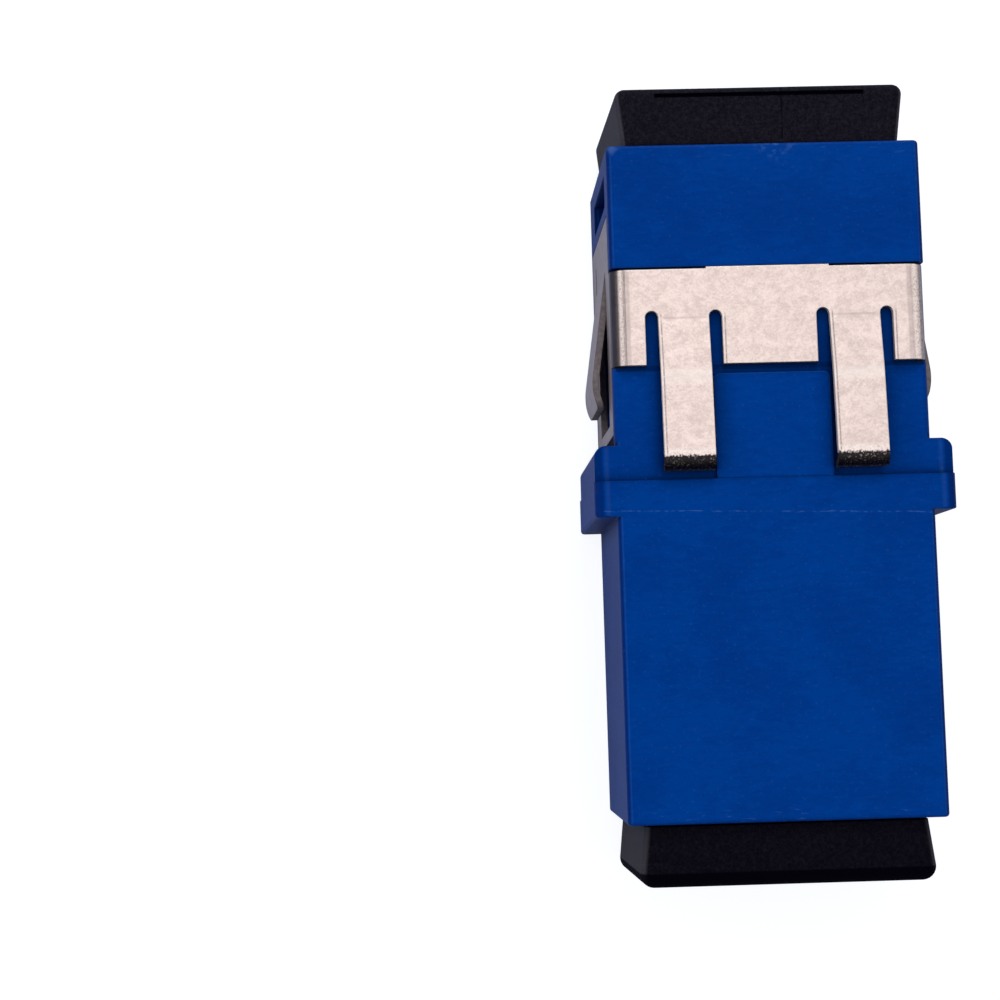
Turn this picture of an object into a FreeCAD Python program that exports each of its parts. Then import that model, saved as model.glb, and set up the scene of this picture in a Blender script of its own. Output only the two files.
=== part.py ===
"""Simplex SC fibre adapter with a folded mounting clip and two dust plugs.

Frame: X across the adapter, Y along the fibre (+Y leaves through the clip end) and Z up from
the key face to the clip face. The origin is the middle of the key face, under the middle of
the flange. Sizes are in millimetres. A housing half, a latch holder and a dust plug are each
drawn for the +Y end; the other end's piece is the same drawing turned half a turn.
"""

import FreeCAD, Part
import os

import Sketcher

SIZES = {
    # housing halves
    "body_length": 27.4,
    "body_width": 12.8,
    "body_thickness": 9.3,
    "body_rounding": 0.25,
    "end_rounding": 0.15,
    "flange_length": 2.9,
    "flange_width": 14.6,
    "flange_trim": 0.1,
    "flange_rounding": 0.35,
    "front_corner": 0.45,
    "rear_corner": 0.15,
    "socket_width": 9.05,
    "socket_height": 7.45,
    "socket_rounding": 0.3,
    "mouth_bevel": 0.3,
    "key_width": 2.0,
    "key_length": 7.7,
    "key_mouth_rounding": 0.3,
    "peg_radius": 0.45,
    "peg_length": 0.8,
    "peg_clearance": 0.05,
    "pad_width": 4.7,
    "pad_length": 4.25,
    "pad_rounding": 0.25,
    "tab_pocket_depth": 0.9,
    "grip_depth": 0.45,
    "grip_length": 1.3,
    "grip_rim": 0.9,
    "grip_foot": 2.3,
    "grip_margin": 1.4,
    "grip_rounding": 0.2,
    # folded clip
    "sheet": 0.28,
    "sheet_clearance": 0.02,
    "fold_radius": 0.35,
    "band_start": 4.65,
    "band_length": 3.9,
    "leg_start": 1.95,
    "leg_length": 9.0,
    "leg_foot": 0.55,
    "leg_shoulder": 0.85,
    "finger_inset": 2.45,
    "finger_width": 2.05,
    "finger_root": 6.6,
    "finger_knee": 4.2,
    "finger_tip": 0.32,
    "knee_rise": 0.4,
    "tip_rise": 0.65,
    "tip_drop": 0.62,
    "tip_fold": 0.2,
    "relief_width": 0.54,
    "relief_margin": 0.25,
    "tab_width": 4.4,
    "tab_slit": 0.08,
    "tab_root": 9.0,
    "tab_crest": 4.5,
    "tab_flat": 0.6,
    "tab_tip": 3.3,
    "tab_spring": 0.78,
    "tab_curl": 0.2,
    "tab_bend": 2.2,
    "tab_corner": 0.4,
    "tab_relief_width": 0.35,
    "tab_relief_length": 1.1,
    "window_start": 2.5,
    "nib_width": 5.0,
    "nib_length": 0.07,
    # latch holders
    "holder_width": 10.4,
    "holder_height": 8.0,
    "holder_plate": 1.3,
    "holder_rounding": 0.3,
    "holder_clearance": 0.02,
    "tube_radius": 2.4,
    "tube_bevel": 0.2,
    "lip_length": 0.6,
    "lip_radius": 1.45,
    "arm_inset": 3.5,
    "arm_thickness": 0.65,
    "arm_width": 2.6,
    "arm_length": 7.9,
    "hook_depth": 0.45,
    "hook_length": 1.0,
    "hook_land": 0.25,
    "latch_relief": 0.25,
    # split sleeve
    "sleeve_length": 11.4,
    "sleeve_bore": 1.25,
    "sleeve_wall": 0.35,
    "sleeve_slit": 0.5,
    "sleeve_clearance": 0.05,
    "sleeve_play": 0.15,
    # dust plugs
    "plug_gap": 0.08,
    "plug_reach": 8.6,
    "plug_clearance": 0.1,
    "plug_wall": 0.9,
    "plug_floor": 0.6,
    "hook_clearance": 0.3,
    "head_length": 2.42,
    "head_key_width": 12.3,
    "head_clip_width": 11.95,
    "head_height": 8.7,
    "neck_key_width": 11.8,
    "neck_clip_width": 11.35,
    "neck_height": 8.5,
    "front_head_rounding": 0.4,
    "rear_head_rounding": 0.55,
    "rim_inset": 0.3,
    "rim_length": 1.15,
    "rim_step": 0.15,
    "rim_setback": 0.15,
    "rim_rounding": 0.12,
    "groove_width": 8.6,
    "groove_length": 0.14,
    "groove_depth": 0.12,
    "groove_inset": 0.3,
}

# Lengths that several pieces share, as expressions on the sheet.
HALF_LENGTH = "(Sizes.body_length / 2)"
HALF_FLANGE = "(Sizes.flange_length / 2)"
HALF_WIDTH = "(Sizes.body_width / 2)"
AXIS_HEIGHT = "(Sizes.body_thickness / 2)"
SHEET_SEAT = "(Sizes.sheet + Sizes.sheet_clearance)"
SEAT_TOP = f"(Sizes.body_thickness - {SHEET_SEAT})"
SEAT_SIDE = f"({HALF_WIDTH} - {SHEET_SEAT})"
BAND_END = "(Sizes.band_start + Sizes.band_length)"
LEG_END = "(Sizes.leg_start + Sizes.leg_length)"
CLIP_INNER_TOP = "(Sizes.body_thickness - Sizes.sheet)"
CLIP_INNER_SIDE = f"({HALF_WIDTH} - Sizes.sheet)"
OUTER_FOLD = "(Sizes.fold_radius + Sizes.sheet)"
SEAT_MARGIN = "(3 * Sizes.sheet_clearance)"
FRONT_FLANGE = "(Sizes.flange_width - Sizes.flange_trim)"
OVERHANG = f"({FRONT_FLANGE} / 2 - {HALF_WIDTH})"
# The tab springs out to a share of the flange's overhang, and its bends fit its flat crest.
TAB_RISE = f"(Sizes.tab_spring * {OVERHANG})"
TAB_LEAN = f"atan(abs({TAB_RISE}) / (Sizes.tab_root - Sizes.tab_crest))"
TAB_TUCK = "atan(Sizes.tab_curl / (Sizes.tab_crest - Sizes.tab_flat - Sizes.tab_tip))"
TAB_BEND = (
    "min(Sizes.tab_bend;"
    f" 0.9 * Sizes.tab_flat / (tan({TAB_LEAN} / 2) + tan({TAB_TUCK} / 2)))"
)
WINDOW_WIDTH = "(Sizes.tab_width + 2 * Sizes.tab_slit)"
SLEEVE_OUTER = "(Sizes.sleeve_bore + Sizes.sleeve_wall)"
PLUG_TIP = f"({HALF_LENGTH} - Sizes.plug_reach)"
HEAD_START = f"({HALF_LENGTH} + Sizes.plug_gap)"
HEAD_END = f"({HEAD_START} + Sizes.head_length)"
LEG_TOP = "(Sizes.body_thickness - Sizes.leg_shoulder)"
BAND_SEAT_END = f"({BAND_END} + Sizes.nib_length + Sizes.sheet_clearance)"
ARM_SLOT_HALF = "(Sizes.arm_width / 2 + Sizes.hook_clearance)"
HOOK_SLOT_END = "(Sizes.arm_length + Sizes.hook_clearance)"
SLEEVE_POCKET_END = "(Sizes.sleeve_length / 2 + Sizes.sleeve_play)"
PEG_SIDE = "((Sizes.holder_width + Sizes.flange_width) / 4)"

# Cuts run on to these places, which lie outside the part.
BEYOND = "(2 * Sizes.body_width)"
BEYOND_END = "(Sizes.body_length)"

# Drawing planes: their normals point along -Y, +Z and +X.
ACROSS, FLAT, SIDEWAYS = "XZ_Plane", "XY_Plane", "YZ_Plane"

document = FreeCAD.newDocument("FibreAdapter")
sheet = document.addObject("Spreadsheet::Sheet", "Sizes")
for row, (alias, size) in enumerate(SIZES.items(), start=1):
    sheet.set(f"A{row}", alias.replace("_", " "))
    sheet.set(f"B{row}", str(size))
    sheet.setAlias(f"B{row}", alias)
document.recompute()


def measure(expression):
    """The value of an expression on the sheet, in millimetres."""
    return float(sheet.evalExpression(str(expression)))


def new_body(name):
    """An empty body whose label names the piece."""
    body = document.addObject("PartDesign::Body", name)
    body.Label = name
    return body


def new_sketch(body, name, plane, offset="0"):
    """A sketch on one of the body's origin planes, moved along the plane's normal by offset."""
    sketch = body.newObject("Sketcher::SketchObject", name)
    origin_plane = next(f for f in body.Origin.OriginFeatures if f.Role == plane)
    sketch.AttachmentSupport = (origin_plane, [""])
    sketch.MapMode = "FlatFace"
    sketch.setExpression("AttachmentOffset.Base.z", offset)
    return sketch


def pin_point(sketch, geometry, end, point):
    """Holds one end of a sketch line at a point given as two expressions."""
    for kind, expression in zip(("DistanceX", "DistanceY"), point):
        index = sketch.addConstraint(
            Sketcher.Constraint(kind, -1, 1, geometry, end, measure(expression))
        )
        label = f"{kind}_{geometry}_{end}"
        sketch.renameConstraint(index, label)
        sketch.setExpression(f"Constraints.{label}", str(expression))


def draw_outline(sketch, corners):
    """A closed outline through corners (x, y). A corner (x, y, centre_x, centre_y, turn) starts
    an arc about that centre to the next corner: turn 1 is counter-clockwise, -1 clockwise."""
    points = [FreeCAD.Vector(measure(c[0]), measure(c[1]), 0) for c in corners]
    starts, ends = [], []
    for i, corner in enumerate(corners):
        here, there = points[i], points[(i + 1) % len(points)]
        if len(corner) == 2:
            edge = sketch.addGeometry(Part.LineSegment(here, there), False)
            starts.append((edge, 1))
            ends.append((edge, 2))
            continue
        centre = FreeCAD.Vector(measure(corner[2]), measure(corner[3]), 0)
        first, last = (here, there) if corner[4] > 0 else (there, here)
        circle = Part.Circle(centre, FreeCAD.Vector(0, 0, 1), (here - centre).Length)
        angles = [circle.parameter(p) for p in (first, last)]
        edge = sketch.addGeometry(Part.ArcOfCircle(circle, *angles), False)
        starts.append((edge, 1 if corner[4] > 0 else 2))
        ends.append((edge, 2 if corner[4] > 0 else 1))
        chord = there - here
        vertical = abs(chord.x) < abs(chord.y) * 1e-6
        kind, which = ("DistanceX", 2) if vertical else ("DistanceY", 3)
        value = measure(corner[which])
        index = sketch.addConstraint(
            Sketcher.Constraint(kind, -1, 1, edge, 3, value)
        )
        sketch.renameConstraint(index, f"centre_{edge}")
        sketch.setExpression(f"Constraints.centre_{edge}", str(corner[which]))
    for i, corner in enumerate(corners):
        following = (i + 1) % len(corners)
        sketch.addConstraint(
            Sketcher.Constraint("Coincident", *ends[i], *starts[following])
        )
        pin_point(sketch, *starts[i], corner[:2])


def draw_rectangle(sketch, low_x, high_x, low_y, high_y):
    draw_outline(
        sketch, [(low_x, low_y), (high_x, low_y), (high_x, high_y), (low_x, high_y)]
    )


def draw_rounded_rectangle(sketch, low_x, high_x, low_y, high_y, radius):
    """A rectangle with quarter-circle corners."""
    left, right = f"({low_x} + {radius})", f"({high_x} - {radius})"
    bottom, top = f"({low_y} + {radius})", f"({high_y} - {radius})"
    draw_outline(
        sketch,
        [
            (left, low_y),
            (right, low_y, right, bottom, 1),
            (high_x, bottom),
            (high_x, top, right, top, 1),
            (right, high_y),
            (left, high_y, left, top, 1),
            (low_x, top),
            (low_x, bottom, left, bottom, 1),
        ],
    )


def draw_section(sketch, width, low_z, high_z, radius):
    """A rounded rectangle centred across the adapter, on the XZ plane."""
    draw_rounded_rectangle(
        sketch, f"(-{width} / 2)", f"({width} / 2)", low_z, high_z, radius
    )


def draw_centred_section(sketch, width, height, radius):
    """A rounded rectangle centred on the fibre's axis, on the XZ plane."""
    draw_section(
        sketch,
        width,
        f"({AXIS_HEIGHT} - {height} / 2)",
        f"({AXIS_HEIGHT} + {height} / 2)",
        radius,
    )


def draw_circle(sketch, centre, radius):
    edge = sketch.addGeometry(
        Part.Circle(
            FreeCAD.Vector(measure(centre[0]), measure(centre[1]), 0),
            FreeCAD.Vector(0, 0, 1),
            measure(radius),
        ),
        False,
    )
    pin_point(sketch, edge, 3, centre)
    index = sketch.addConstraint(Sketcher.Constraint("Radius", edge, measure(radius)))
    sketch.renameConstraint(index, f"radius_{edge}")
    sketch.setExpression(f"Constraints.radius_{edge}", radius)


def volume_of(body):
    return body.Shape.Volume if body.Tip is not None else 0.0


def pad(body, sketch, length, forward=True):
    """Adds the sketch's prism. forward is along the sketch's normal."""
    before = volume_of(body)
    feature = body.newObject("PartDesign::Pad", f"{sketch.Name}Pad")
    feature.Profile = sketch
    feature.Reversed = not forward
    feature.setExpression("Length", length)
    sketch.Visibility = False
    document.recompute()
    if volume_of(body) <= before:
        raise RuntimeError(f"{feature.Name} adds nothing")
    return feature


def pocket(body, sketch, length, forward=True):
    """Cuts the sketch's prism. forward is along the sketch's normal."""
    before = volume_of(body)
    feature = body.newObject("PartDesign::Pocket", f"{sketch.Name}Pocket")
    feature.Profile = sketch
    feature.Reversed = forward
    feature.setExpression("Length", length)
    sketch.Visibility = False
    document.recompute()
    if volume_of(body) >= before:
        raise RuntimeError(f"{feature.Name} cuts nothing")
    return feature


def finish_edges(body, kind, name, size, test):
    """A fillet or chamfer on each of the tip's edges whose middle and box pass the test."""
    base = body.Tip
    names = [
        f"Edge{number}"
        for number, edge in enumerate(base.Shape.Edges, start=1)
        if test(edge.CenterOfMass, edge.BoundBox)
    ]
    if not names:
        raise RuntimeError(f"{name} finds no edge")
    feature = body.newObject(f"PartDesign::{kind}", name)
    feature.Base = (base, names)
    feature.setExpression("Radius" if kind == "Fillet" else "Size", size)
    document.recompute()
    return feature


def lies_at(low, high, expression):
    """Whether an edge's whole extent along one direction is at this place."""
    place = measure(expression)
    return abs(low - place) < 1e-4 and abs(high - place) < 1e-4


def turn_to_rear(body):
    """Turns a piece drawn for the +Y end to the other end, about the vertical."""
    body.Placement = FreeCAD.Placement(
        FreeCAD.Vector(0, 0, 0), FreeCAD.Rotation(FreeCAD.Vector(0, 0, 1), 180)
    )


def build_housing_half(name, flange_width, flange_corner):
    """One moulded half: body, half of the flange, socket, seat for the latch holder, key slot."""
    body = new_body(name)

    block = new_sketch(body, f"{name}_block", ACROSS)
    draw_section(
        block, "Sizes.body_width", "0", "Sizes.body_thickness", "Sizes.body_rounding"
    )
    pad(body, block, HALF_LENGTH, forward=False)

    finish_edges(
        body,
        "Fillet",
        f"{name}_end_rounding",
        "Sizes.end_rounding",
        lambda middle, box: lies_at(box.YMin, box.YMax, HALF_LENGTH),
    )

    flange = new_sketch(body, f"{name}_flange", ACROSS)
    draw_section(
        flange, flange_width, "0", "Sizes.body_thickness", "Sizes.flange_rounding"
    )
    pad(body, flange, HALF_FLANGE, forward=False)

    # The flange's upright corners are rounded, by no more than most of its overhang.
    radius = f"min({flange_corner}; 0.8 * ({flange_width} / 2 - {HALF_WIDTH}))"
    turn_x, turn_y = f"({flange_width} / 2 - {radius})", f"({HALF_FLANGE} - {radius})"
    past_x, past_y = f"({flange_width} / 2 + {radius})", f"({HALF_FLANGE} + {radius})"
    for side, word in ((1, "right"), (-1, "left")):
        corner = new_sketch(body, f"{name}_{word}_corner", FLAT)
        draw_outline(
            corner,
            [
                (f"{side} * {turn_x}", HALF_FLANGE, f"{side} * {turn_x}", turn_y, -side),
                (f"{side} * {flange_width} / 2", turn_y),
                (f"{side} * {past_x}", turn_y),
                (f"{side} * {past_x}", past_y),
                (f"{side} * {turn_x}", past_y),
            ],
        )
        pocket(body, corner, "Sizes.body_thickness")

    socket = new_sketch(body, f"{name}_socket", ACROSS)
    draw_centred_section(
        socket, "Sizes.socket_width", "Sizes.socket_height", "Sizes.socket_rounding"
    )
    pocket(body, socket, HALF_LENGTH, forward=False)

    finish_edges(
        body,
        "Chamfer",
        f"{name}_mouth_bevel",
        "Sizes.mouth_bevel",
        lambda middle, box: (
            lies_at(box.YMin, box.YMax, HALF_LENGTH)
            and abs(middle.x) < measure("Sizes.socket_width / 2 + 0.01")
            and abs(middle.z - measure(AXIS_HEIGHT))
            < measure("Sizes.socket_height / 2 + 0.01")
        ),
    )

    seat = new_sketch(body, f"{name}_holder_seat", ACROSS)
    draw_centred_section(
        seat,
        "(Sizes.holder_width + 2 * Sizes.holder_clearance)",
        "(Sizes.holder_height + 2 * Sizes.holder_clearance)",
        "Sizes.holder_rounding",
    )
    pocket(
        body, seat, "Sizes.holder_plate + Sizes.holder_clearance", forward=False
    )

    relief = new_sketch(body, f"{name}_latch_relief", ACROSS)
    draw_centred_section(
        relief,
        "(Sizes.socket_width + 2 * Sizes.latch_relief)",
        f"(2 * {ARM_SLOT_HALF})",
        "Sizes.latch_relief",
    )
    pocket(body, relief, HOOK_SLOT_END, forward=False)

    # The key slot runs in from the mouth to a round end, and its mouth corners are rounded.
    slot_side = "(Sizes.key_width / 2)"
    slot_root = f"({HALF_LENGTH} - Sizes.key_length + {slot_side})"
    corner_side = f"({slot_side} + Sizes.key_mouth_rounding)"
    corner_start = f"({HALF_LENGTH} - Sizes.key_mouth_rounding)"
    past_mouth = f"({HALF_LENGTH} + Sizes.key_mouth_rounding)"
    slot = new_sketch(body, f"{name}_key_slot", FLAT)
    draw_outline(
        slot,
        [
            (slot_side, slot_root),
            (slot_side, corner_start, corner_side, corner_start, -1),
            (corner_side, HALF_LENGTH),
            (corner_side, past_mouth),
            (f"-{corner_side}", past_mouth),
            (f"-{corner_side}", HALF_LENGTH, f"-{corner_side}", corner_start, -1),
            (f"-{slot_side}", corner_start),
            (f"-{slot_side}", slot_root, "0", slot_root, 1),
        ],
    )
    pocket(body, slot, AXIS_HEIGHT)
    return body


def add_locating_pegs(body, radius, reach, raised):
    """Two pegs on the flange's joint face, or the two holes that take them."""
    sketch = new_sketch(body, f"{body.Label}_pegs", ACROSS)
    for side in (1, -1):
        draw_circle(sketch, (f"{side} * {PEG_SIDE}", AXIS_HEIGHT), radius)
    if raised:
        pad(body, sketch, reach)
    else:
        pocket(body, sketch, reach, forward=False)


def cut_clip_seat(body):
    """The shallow steps that let the clip lie flush with the front half's faces."""
    name = body.Label
    pad_side = "(Sizes.pad_width / 2)"
    pad_corner = "(Sizes.pad_width / 2 - Sizes.pad_rounding)"
    pad_turn = "(Sizes.pad_length - Sizes.pad_rounding)"
    top = new_sketch(body, f"{name}_band_seat", FLAT, SEAT_TOP)
    draw_outline(
        top,
        [
            (pad_side, f"-{HALF_FLANGE}"),
            (BEYOND, f"-{HALF_FLANGE}"),
            (BEYOND, BAND_SEAT_END),
            (f"-{BEYOND}", BAND_SEAT_END),
            (f"-{BEYOND}", f"-{HALF_FLANGE}"),
            (f"-{pad_side}", f"-{HALF_FLANGE}"),
            (f"-{pad_side}", pad_turn, f"-{pad_corner}", pad_turn, -1),
            (f"-{pad_corner}", "Sizes.pad_length"),
            (pad_corner, "Sizes.pad_length", pad_corner, pad_turn, -1),
            (pad_side, pad_turn),
        ],
    )
    pocket(body, top, BEYOND)

    # Beside the fingers a ledge of the half covers the leg's upper edge.
    band_seat_start = f"(Sizes.band_start - {SEAT_MARGIN})"
    for side, word, outward in ((1, "right", True), (-1, "left", False)):
        leg = new_sketch(body, f"{name}_{word}_leg_seat", SIDEWAYS, f"{side} * {SEAT_SIDE}")
        draw_outline(
            leg,
            [
                (HALF_FLANGE, f"(Sizes.leg_foot - {SEAT_MARGIN})"),
                (f"({LEG_END} + {SEAT_MARGIN})", f"(Sizes.leg_foot - {SEAT_MARGIN})"),
                (f"({LEG_END} + {SEAT_MARGIN})", f"({LEG_TOP} + {SEAT_MARGIN})"),
                (BAND_SEAT_END, f"({LEG_TOP} + {SEAT_MARGIN})"),
                (BAND_SEAT_END, BEYOND),
                (band_seat_start, BEYOND),
                (band_seat_start, f"({LEG_TOP} + {SEAT_MARGIN})"),
                (HALF_FLANGE, f"({LEG_TOP} + {SEAT_MARGIN})"),
            ],
        )
        pocket(body, leg, BEYOND, forward=outward)

        tab_bed = new_sketch(
            body,
            f"{name}_{word}_tab_pocket",
            SIDEWAYS,
            f"{side} * ({HALF_WIDTH} - Sizes.tab_pocket_depth)",
        )
        draw_rectangle(
            tab_bed,
            "Sizes.window_start",
            f"(Sizes.tab_root - {SHEET_SEAT})",
            f"({AXIS_HEIGHT} - {WINDOW_WIDTH} / 2)",
            f"({AXIS_HEIGHT} + {WINDOW_WIDTH} / 2)",
        )
        pocket(body, tab_bed, BEYOND, forward=outward)

        grip = new_sketch(
            body,
            f"{name}_{word}_grip",
            SIDEWAYS,
            f"{side} * ({HALF_WIDTH} - Sizes.grip_depth)",
        )
        draw_rounded_rectangle(
            grip,
            f"({HALF_LENGTH} - Sizes.grip_rim - Sizes.grip_length)",
            f"({HALF_LENGTH} - Sizes.grip_rim)",
            "Sizes.grip_foot",
            "(Sizes.body_thickness - Sizes.grip_margin)",
            "Sizes.grip_rounding",
        )
        pocket(body, grip, BEYOND, forward=outward)

    finish_edges(
        body,
        "Fillet",
        f"{name}_ledge_rounding",
        "Sizes.body_rounding",
        lambda middle, box: (
            lies_at(box.ZMin, box.ZMax, SEAT_TOP)
            and abs(abs(middle.x) - measure(HALF_WIDTH)) < 1e-4
            and box.XLength < 1e-4
        ),
    )

    # The seat's long corners are rounded to stay clear inside the clip's folds.
    finish_edges(
        body,
        "Fillet",
        f"{name}_fold_relief",
        "Sizes.fold_radius + Sizes.sheet_clearance",
        lambda middle, box: (
            lies_at(box.ZMin, box.ZMax, SEAT_TOP)
            and abs(abs(middle.x) - measure(SEAT_SIDE)) < 1e-4
            and box.XLength < 1e-4
        ),
    )


def build_latch_holder(name):
    """Seat plate with a tube for half of the split sleeve and two hooked arms."""
    body = new_body(name)

    plate = new_sketch(body, f"{name}_plate", ACROSS)
    draw_centred_section(
        plate,
        "Sizes.holder_width",
        "Sizes.holder_height",
        "(Sizes.holder_rounding + Sizes.holder_clearance)",
    )
    pad(body, plate, "Sizes.holder_plate", forward=False)

    tube = new_sketch(body, f"{name}_tube", ACROSS)
    draw_circle(tube, ("0", AXIS_HEIGHT), "Sizes.tube_radius")
    pad(body, tube, f"{SLEEVE_POCKET_END} + Sizes.lip_length", forward=False)

    arm_inner = "Sizes.arm_inset"
    arm_outer = "(Sizes.arm_inset + Sizes.arm_thickness)"
    hook_inner = "(Sizes.arm_inset - Sizes.hook_depth)"
    hook_start = "(Sizes.arm_length - Sizes.hook_length)"
    for side, word in ((1, "right"), (-1, "left")):
        arm = new_sketch(
            body, f"{name}_{word}_arm", FLAT, f"{AXIS_HEIGHT} - Sizes.arm_width / 2"
        )
        draw_outline(
            arm,
            [
                (f"{side} * {arm_inner}", "(Sizes.holder_plate / 2)"),
                (f"{side} * {arm_inner}", hook_start),
                (f"{side} * {hook_inner}", hook_start),
                (f"{side} * {hook_inner}", f"({hook_start} + Sizes.hook_land)"),
                (f"{side} * {arm_inner}", "Sizes.arm_length"),
                (f"{side} * {arm_outer}", "Sizes.arm_length"),
                (f"{side} * {arm_outer}", "(Sizes.holder_plate / 2)"),
            ],
        )
        pad(body, arm, "Sizes.arm_width")

    sleeve_bed = new_sketch(body, f"{name}_sleeve_bed", ACROSS)
    draw_circle(
        sleeve_bed, ("0", AXIS_HEIGHT), f"{SLEEVE_OUTER} + Sizes.sleeve_clearance"
    )
    pocket(body, sleeve_bed, SLEEVE_POCKET_END, forward=False)
    lip = new_sketch(body, f"{name}_lip", ACROSS)
    draw_circle(lip, ("0", AXIS_HEIGHT), "Sizes.lip_radius")
    pocket(body, lip, BEYOND, forward=False)

    finish_edges(
        body,
        "Chamfer",
        f"{name}_tube_bevel",
        "Sizes.tube_bevel",
        lambda middle, box: lies_at(
            box.YMin, box.YMax, f"{SLEEVE_POCKET_END} + Sizes.lip_length"
        ),
    )
    return body


def build_split_sleeve(name):
    """Thin ceramic tube with one lengthwise slit, over both halves."""
    body = new_body(name)
    slit = "(Sizes.sleeve_slit / 2)"
    outer_rise = f"({AXIS_HEIGHT} + sqrt({SLEEVE_OUTER}^2 - {slit}^2))"
    inner_rise = f"({AXIS_HEIGHT} + sqrt(Sizes.sleeve_bore^2 - {slit}^2))"
    wall = new_sketch(body, f"{name}_wall", ACROSS, "Sizes.sleeve_length / 2")
    draw_outline(
        wall,
        [
            (f"-{slit}", outer_rise, "0", AXIS_HEIGHT, 1),
            (slit, outer_rise),
            (slit, inner_rise, "0", AXIS_HEIGHT, -1),
            (f"-{slit}", inner_rise),
        ],
    )
    pad(body, wall, "Sizes.sleeve_length", forward=False)
    return body


def build_mounting_clip(name):
    """One blank folded over the front half: band, two legs with lanced tabs, two fingers."""
    body = new_body(name)

    fold_side = f"({HALF_WIDTH} - {OUTER_FOLD})"
    fold_height = f"(Sizes.body_thickness - {OUTER_FOLD})"
    channel = new_sketch(body, f"{name}_channel", ACROSS, "-Sizes.leg_start")
    draw_outline(
        channel,
        [
            (f"-{HALF_WIDTH}", "Sizes.leg_foot"),
            (f"-{HALF_WIDTH}", fold_height, f"-{fold_side}", fold_height, -1),
            (f"-{fold_side}", "Sizes.body_thickness"),
            (fold_side, "Sizes.body_thickness", fold_side, fold_height, -1),
            (HALF_WIDTH, fold_height),
            (HALF_WIDTH, "Sizes.leg_foot"),
            (CLIP_INNER_SIDE, "Sizes.leg_foot"),
            (CLIP_INNER_SIDE, fold_height, fold_side, fold_height, 1),
            (fold_side, CLIP_INNER_TOP),
            (f"-{fold_side}", CLIP_INNER_TOP, f"-{fold_side}", fold_height, 1),
            (f"-{CLIP_INNER_SIDE}", fold_height),
            (f"-{CLIP_INNER_SIDE}", "Sizes.leg_foot"),
        ],
    )
    pad(body, channel, "Sizes.leg_length", forward=False)

    # The band is shorter than the legs at both ends.
    for word, start, end in (
        ("front", BAND_END, BEYOND_END),
        ("rear", "0", "Sizes.band_start"),
    ):
        shoulder = new_sketch(
            body, f"{name}_{word}_shoulder", SIDEWAYS, f"-{BEYOND}"
        )
        draw_rectangle(shoulder, start, end, LEG_TOP, BEYOND)
        pocket(body, shoulder, f"2 * {BEYOND}")

    window = new_sketch(body, f"{name}_windows", SIDEWAYS, f"-{BEYOND}")
    draw_rectangle(
        window,
        "Sizes.window_start",
        "Sizes.tab_root",
        f"({AXIS_HEIGHT} - {WINDOW_WIDTH} / 2)",
        f"({AXIS_HEIGHT} + {WINDOW_WIDTH} / 2)",
    )
    pocket(body, window, f"2 * {BEYOND}")

    finger_in = "Sizes.finger_inset"
    finger_out = "(Sizes.finger_inset + Sizes.finger_width)"
    slot_in = "(Sizes.finger_inset - Sizes.relief_width)"
    slot_out = f"({finger_out} + Sizes.relief_width)"
    slot_radius = "(Sizes.relief_width / 2)"
    slot_turn = "(Sizes.finger_root + Sizes.relief_margin - Sizes.relief_width / 2)"
    for side, word in ((1, "right"), (-1, "left")):
        relief = new_sketch(body, f"{name}_{word}_relief", FLAT, LEG_TOP)
        draw_outline(
            relief,
            [
                (f"{side} * {slot_in}", "Sizes.leg_start"),
                (f"{side} * {slot_out}", "Sizes.leg_start"),
                (
                    f"{side} * {slot_out}",
                    slot_turn,
                    f"{side} * ({slot_out} - {slot_radius})",
                    slot_turn,
                    side,
                ),
                (f"{side} * {finger_out}", slot_turn),
                (f"{side} * {finger_out}", "Sizes.finger_root"),
                (f"{side} * {finger_in}", "Sizes.finger_root"),
                (
                    f"{side} * {finger_in}",
                    slot_turn,
                    f"{side} * ({finger_in} - {slot_radius})",
                    slot_turn,
                    side,
                ),
                (f"{side} * {slot_in}", slot_turn),
            ],
        )
        pocket(body, relief, BEYOND)

        # The finger rises from its root to a knee and a crest, then turns down at its tip.
        crest = "(Sizes.body_thickness + Sizes.tip_rise)"
        tip_radius = "(Sizes.tip_fold + Sizes.sheet)"
        tip_turn = f"(Sizes.finger_tip + {tip_radius})"
        finger = new_sketch(
            body,
            f"{name}_{word}_finger",
            SIDEWAYS,
            f"{side} * (Sizes.finger_inset + Sizes.finger_width / 2)"
            " - Sizes.finger_width / 2",
        )
        knee = "(Sizes.body_thickness + Sizes.knee_rise)"
        foot = f"({crest} - Sizes.tip_drop)"
        band_lap = "(Sizes.finger_root + Sizes.relief_margin)"
        draw_outline(
            finger,
            [
                (tip_turn, crest, tip_turn, f"({crest} - {tip_radius})", 1),
                ("Sizes.finger_tip", f"({crest} - {tip_radius})"),
                ("Sizes.finger_tip", foot),
                ("(Sizes.finger_tip + Sizes.sheet)", foot),
                (
                    "(Sizes.finger_tip + Sizes.sheet)",
                    f"({crest} - {tip_radius})",
                    tip_turn,
                    f"({crest} - {tip_radius})",
                    -1,
                ),
                (tip_turn, f"({crest} - Sizes.sheet)"),
                ("Sizes.finger_knee", f"({knee} - Sizes.sheet)"),
                ("Sizes.finger_root", CLIP_INNER_TOP),
                (band_lap, CLIP_INNER_TOP),
                (band_lap, "Sizes.body_thickness"),
                ("Sizes.finger_root", "Sizes.body_thickness"),
                ("Sizes.finger_knee", knee),
            ],
        )
        pad(body, finger, "Sizes.finger_width")

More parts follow.
